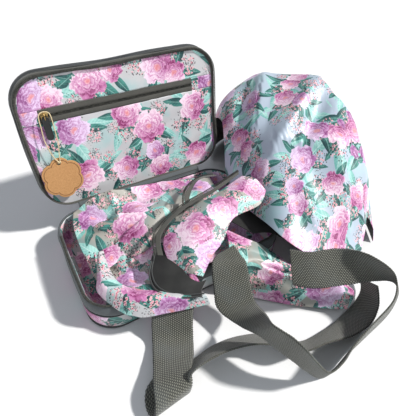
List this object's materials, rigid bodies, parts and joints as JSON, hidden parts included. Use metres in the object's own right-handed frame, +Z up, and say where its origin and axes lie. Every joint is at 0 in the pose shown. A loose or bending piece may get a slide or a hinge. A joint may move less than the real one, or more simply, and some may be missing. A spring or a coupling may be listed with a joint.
{
  "type": "fold-away tote bag with zip case",
  "caption": "Floral fold-away tote bag with webbing handles spilling from the open zip case it packs into; lid pocket with zip, cork tag on a string.",
  "frame": {"origin": "centre of the case base's underside, on the surface it rests on", "axes": "+X along the case's hinge, +Y from the open front towards the hinge, +Z up"},
  "size_m": [0.4101, 0.4174, 0.1951],
  "materials": {
    "floral_fabric": "printed floral cotton with a light water-resistant sheen",
    "dark_lining": "plain dark olive lining cloth",
    "zip_tape": "woven olive zip tape",
    "zip_coil": "olive nylon coil teeth",
    "webbing": "coarse woven olive webbing",
    "piping": "dark binding over the hinge seam",
    "brass": "aged brass zip sliders",
    "pull": "black moulded zip pulls",
    "cork": "cork sheet with an engraved border line",
    "string": "waxed cream string"
  },
  "bodies": {
    "base_and_tote": {"base_panel": "floral_fabric", "base_gusset": "floral_fabric", "base_zip_tape": "zip_tape", "base_zip_coil": "zip_coil", "base_lining": "floral_fabric", "hinge_piping": "piping", "tote_back_panel": "floral_fabric", "tote_front_panel": "floral_fabric", "tote_lining": "dark_lining", "tote_bottom_panel": "floral_fabric", "tote_side_panel": "floral_fabric", "tote_flap_lining": "dark_lining", "tote_front_fold": "floral_fabric", "tote_zip_tape_right": "zip_tape", "tote_zip_coil_right": "zip_coil", "tote_zip_tape_left": "zip_tape", "tote_zip_coil_left": "zip_coil", "handle_front": "webbing", "handle_rear": "webbing"},
    "lid": {"lid_panel": "floral_fabric", "lid_gusset": "zip_tape", "lid_zip_tape": "zip_tape", "lid_zip_coil": "zip_coil", "lid_lining": "dark_lining", "lid_lining_upper": "floral_fabric", "lid_pocket_panel": "floral_fabric", "pocket_end_left": "floral_fabric", "pocket_end_right": "floral_fabric", "pocket_zip_tape_upper": "zip_tape", "pocket_zip_tape_lower": "zip_tape", "pocket_zip_coil": "zip_coil"},
    "pocket_slider": {"pocket_slider": "brass"},
    "pocket_pull": {"pocket_pull": "pull"},
    "tag": {"cork_tag": "cork", "tag_cord": "string"},
    "case_slider": {"case_slider": "brass"},
    "case_pull": {"case_pull": "pull"},
    "tote_slider": {"tote_slider": "brass"},
    "tote_pull": {"tote_pull": "pull"}
  },
  "joints": [
    {"name": "lid_hinge", "type": "hinge", "parent": "base_and_tote", "child": "lid", "pos_m": [0, 0.078, 0.04], "axis": [1, 0, 0], "range_deg": [-82, 18]},
    {"name": "pocket_slide", "type": "slide", "parent": "lid", "child": "pocket_slider", "axis": [1, 0, 0], "range_m": [0, 0.172]},
    {"name": "pocket_pull_swing", "type": "hinge", "parent": "pocket_slider", "child": "pocket_pull", "pos_m": [-0.0925, 0.09945, 0.15298], "axis": [1, 0, 0], "range_deg": [-120, 0]},
    {"name": "tag_swing", "type": "hinge", "parent": "pocket_slider", "child": "tag", "pos_m": [-0.0925, 0.10032, 0.15485], "axis": [0, -0.9816, 0.1908], "range_deg": [-25, 10]},
    {"name": "case_slide", "type": "slide", "parent": "base_and_tote", "child": "case_slider", "axis": [0, -1, 0], "range_m": [0, 0.055]},
    {"name": "case_pull_swing", "type": "hinge", "parent": "case_slider", "child": "case_pull", "pos_m": [0.1212, 0.045, 0.039], "axis": [0, 1, 0], "range_deg": [-60, 0]},
    {"name": "tote_slide", "type": "slide", "parent": "base_and_tote", "child": "tote_slider", "axis": [0, 0, 1], "range_m": [0, 0.006]},
    {"name": "tote_pull_swing", "type": "hinge", "parent": "tote_slider", "child": "tote_pull", "pos_m": [0.0036, -0.05, 0.034], "axis": [1, 0, 0], "range_deg": [-40, 0]}
  ]
}
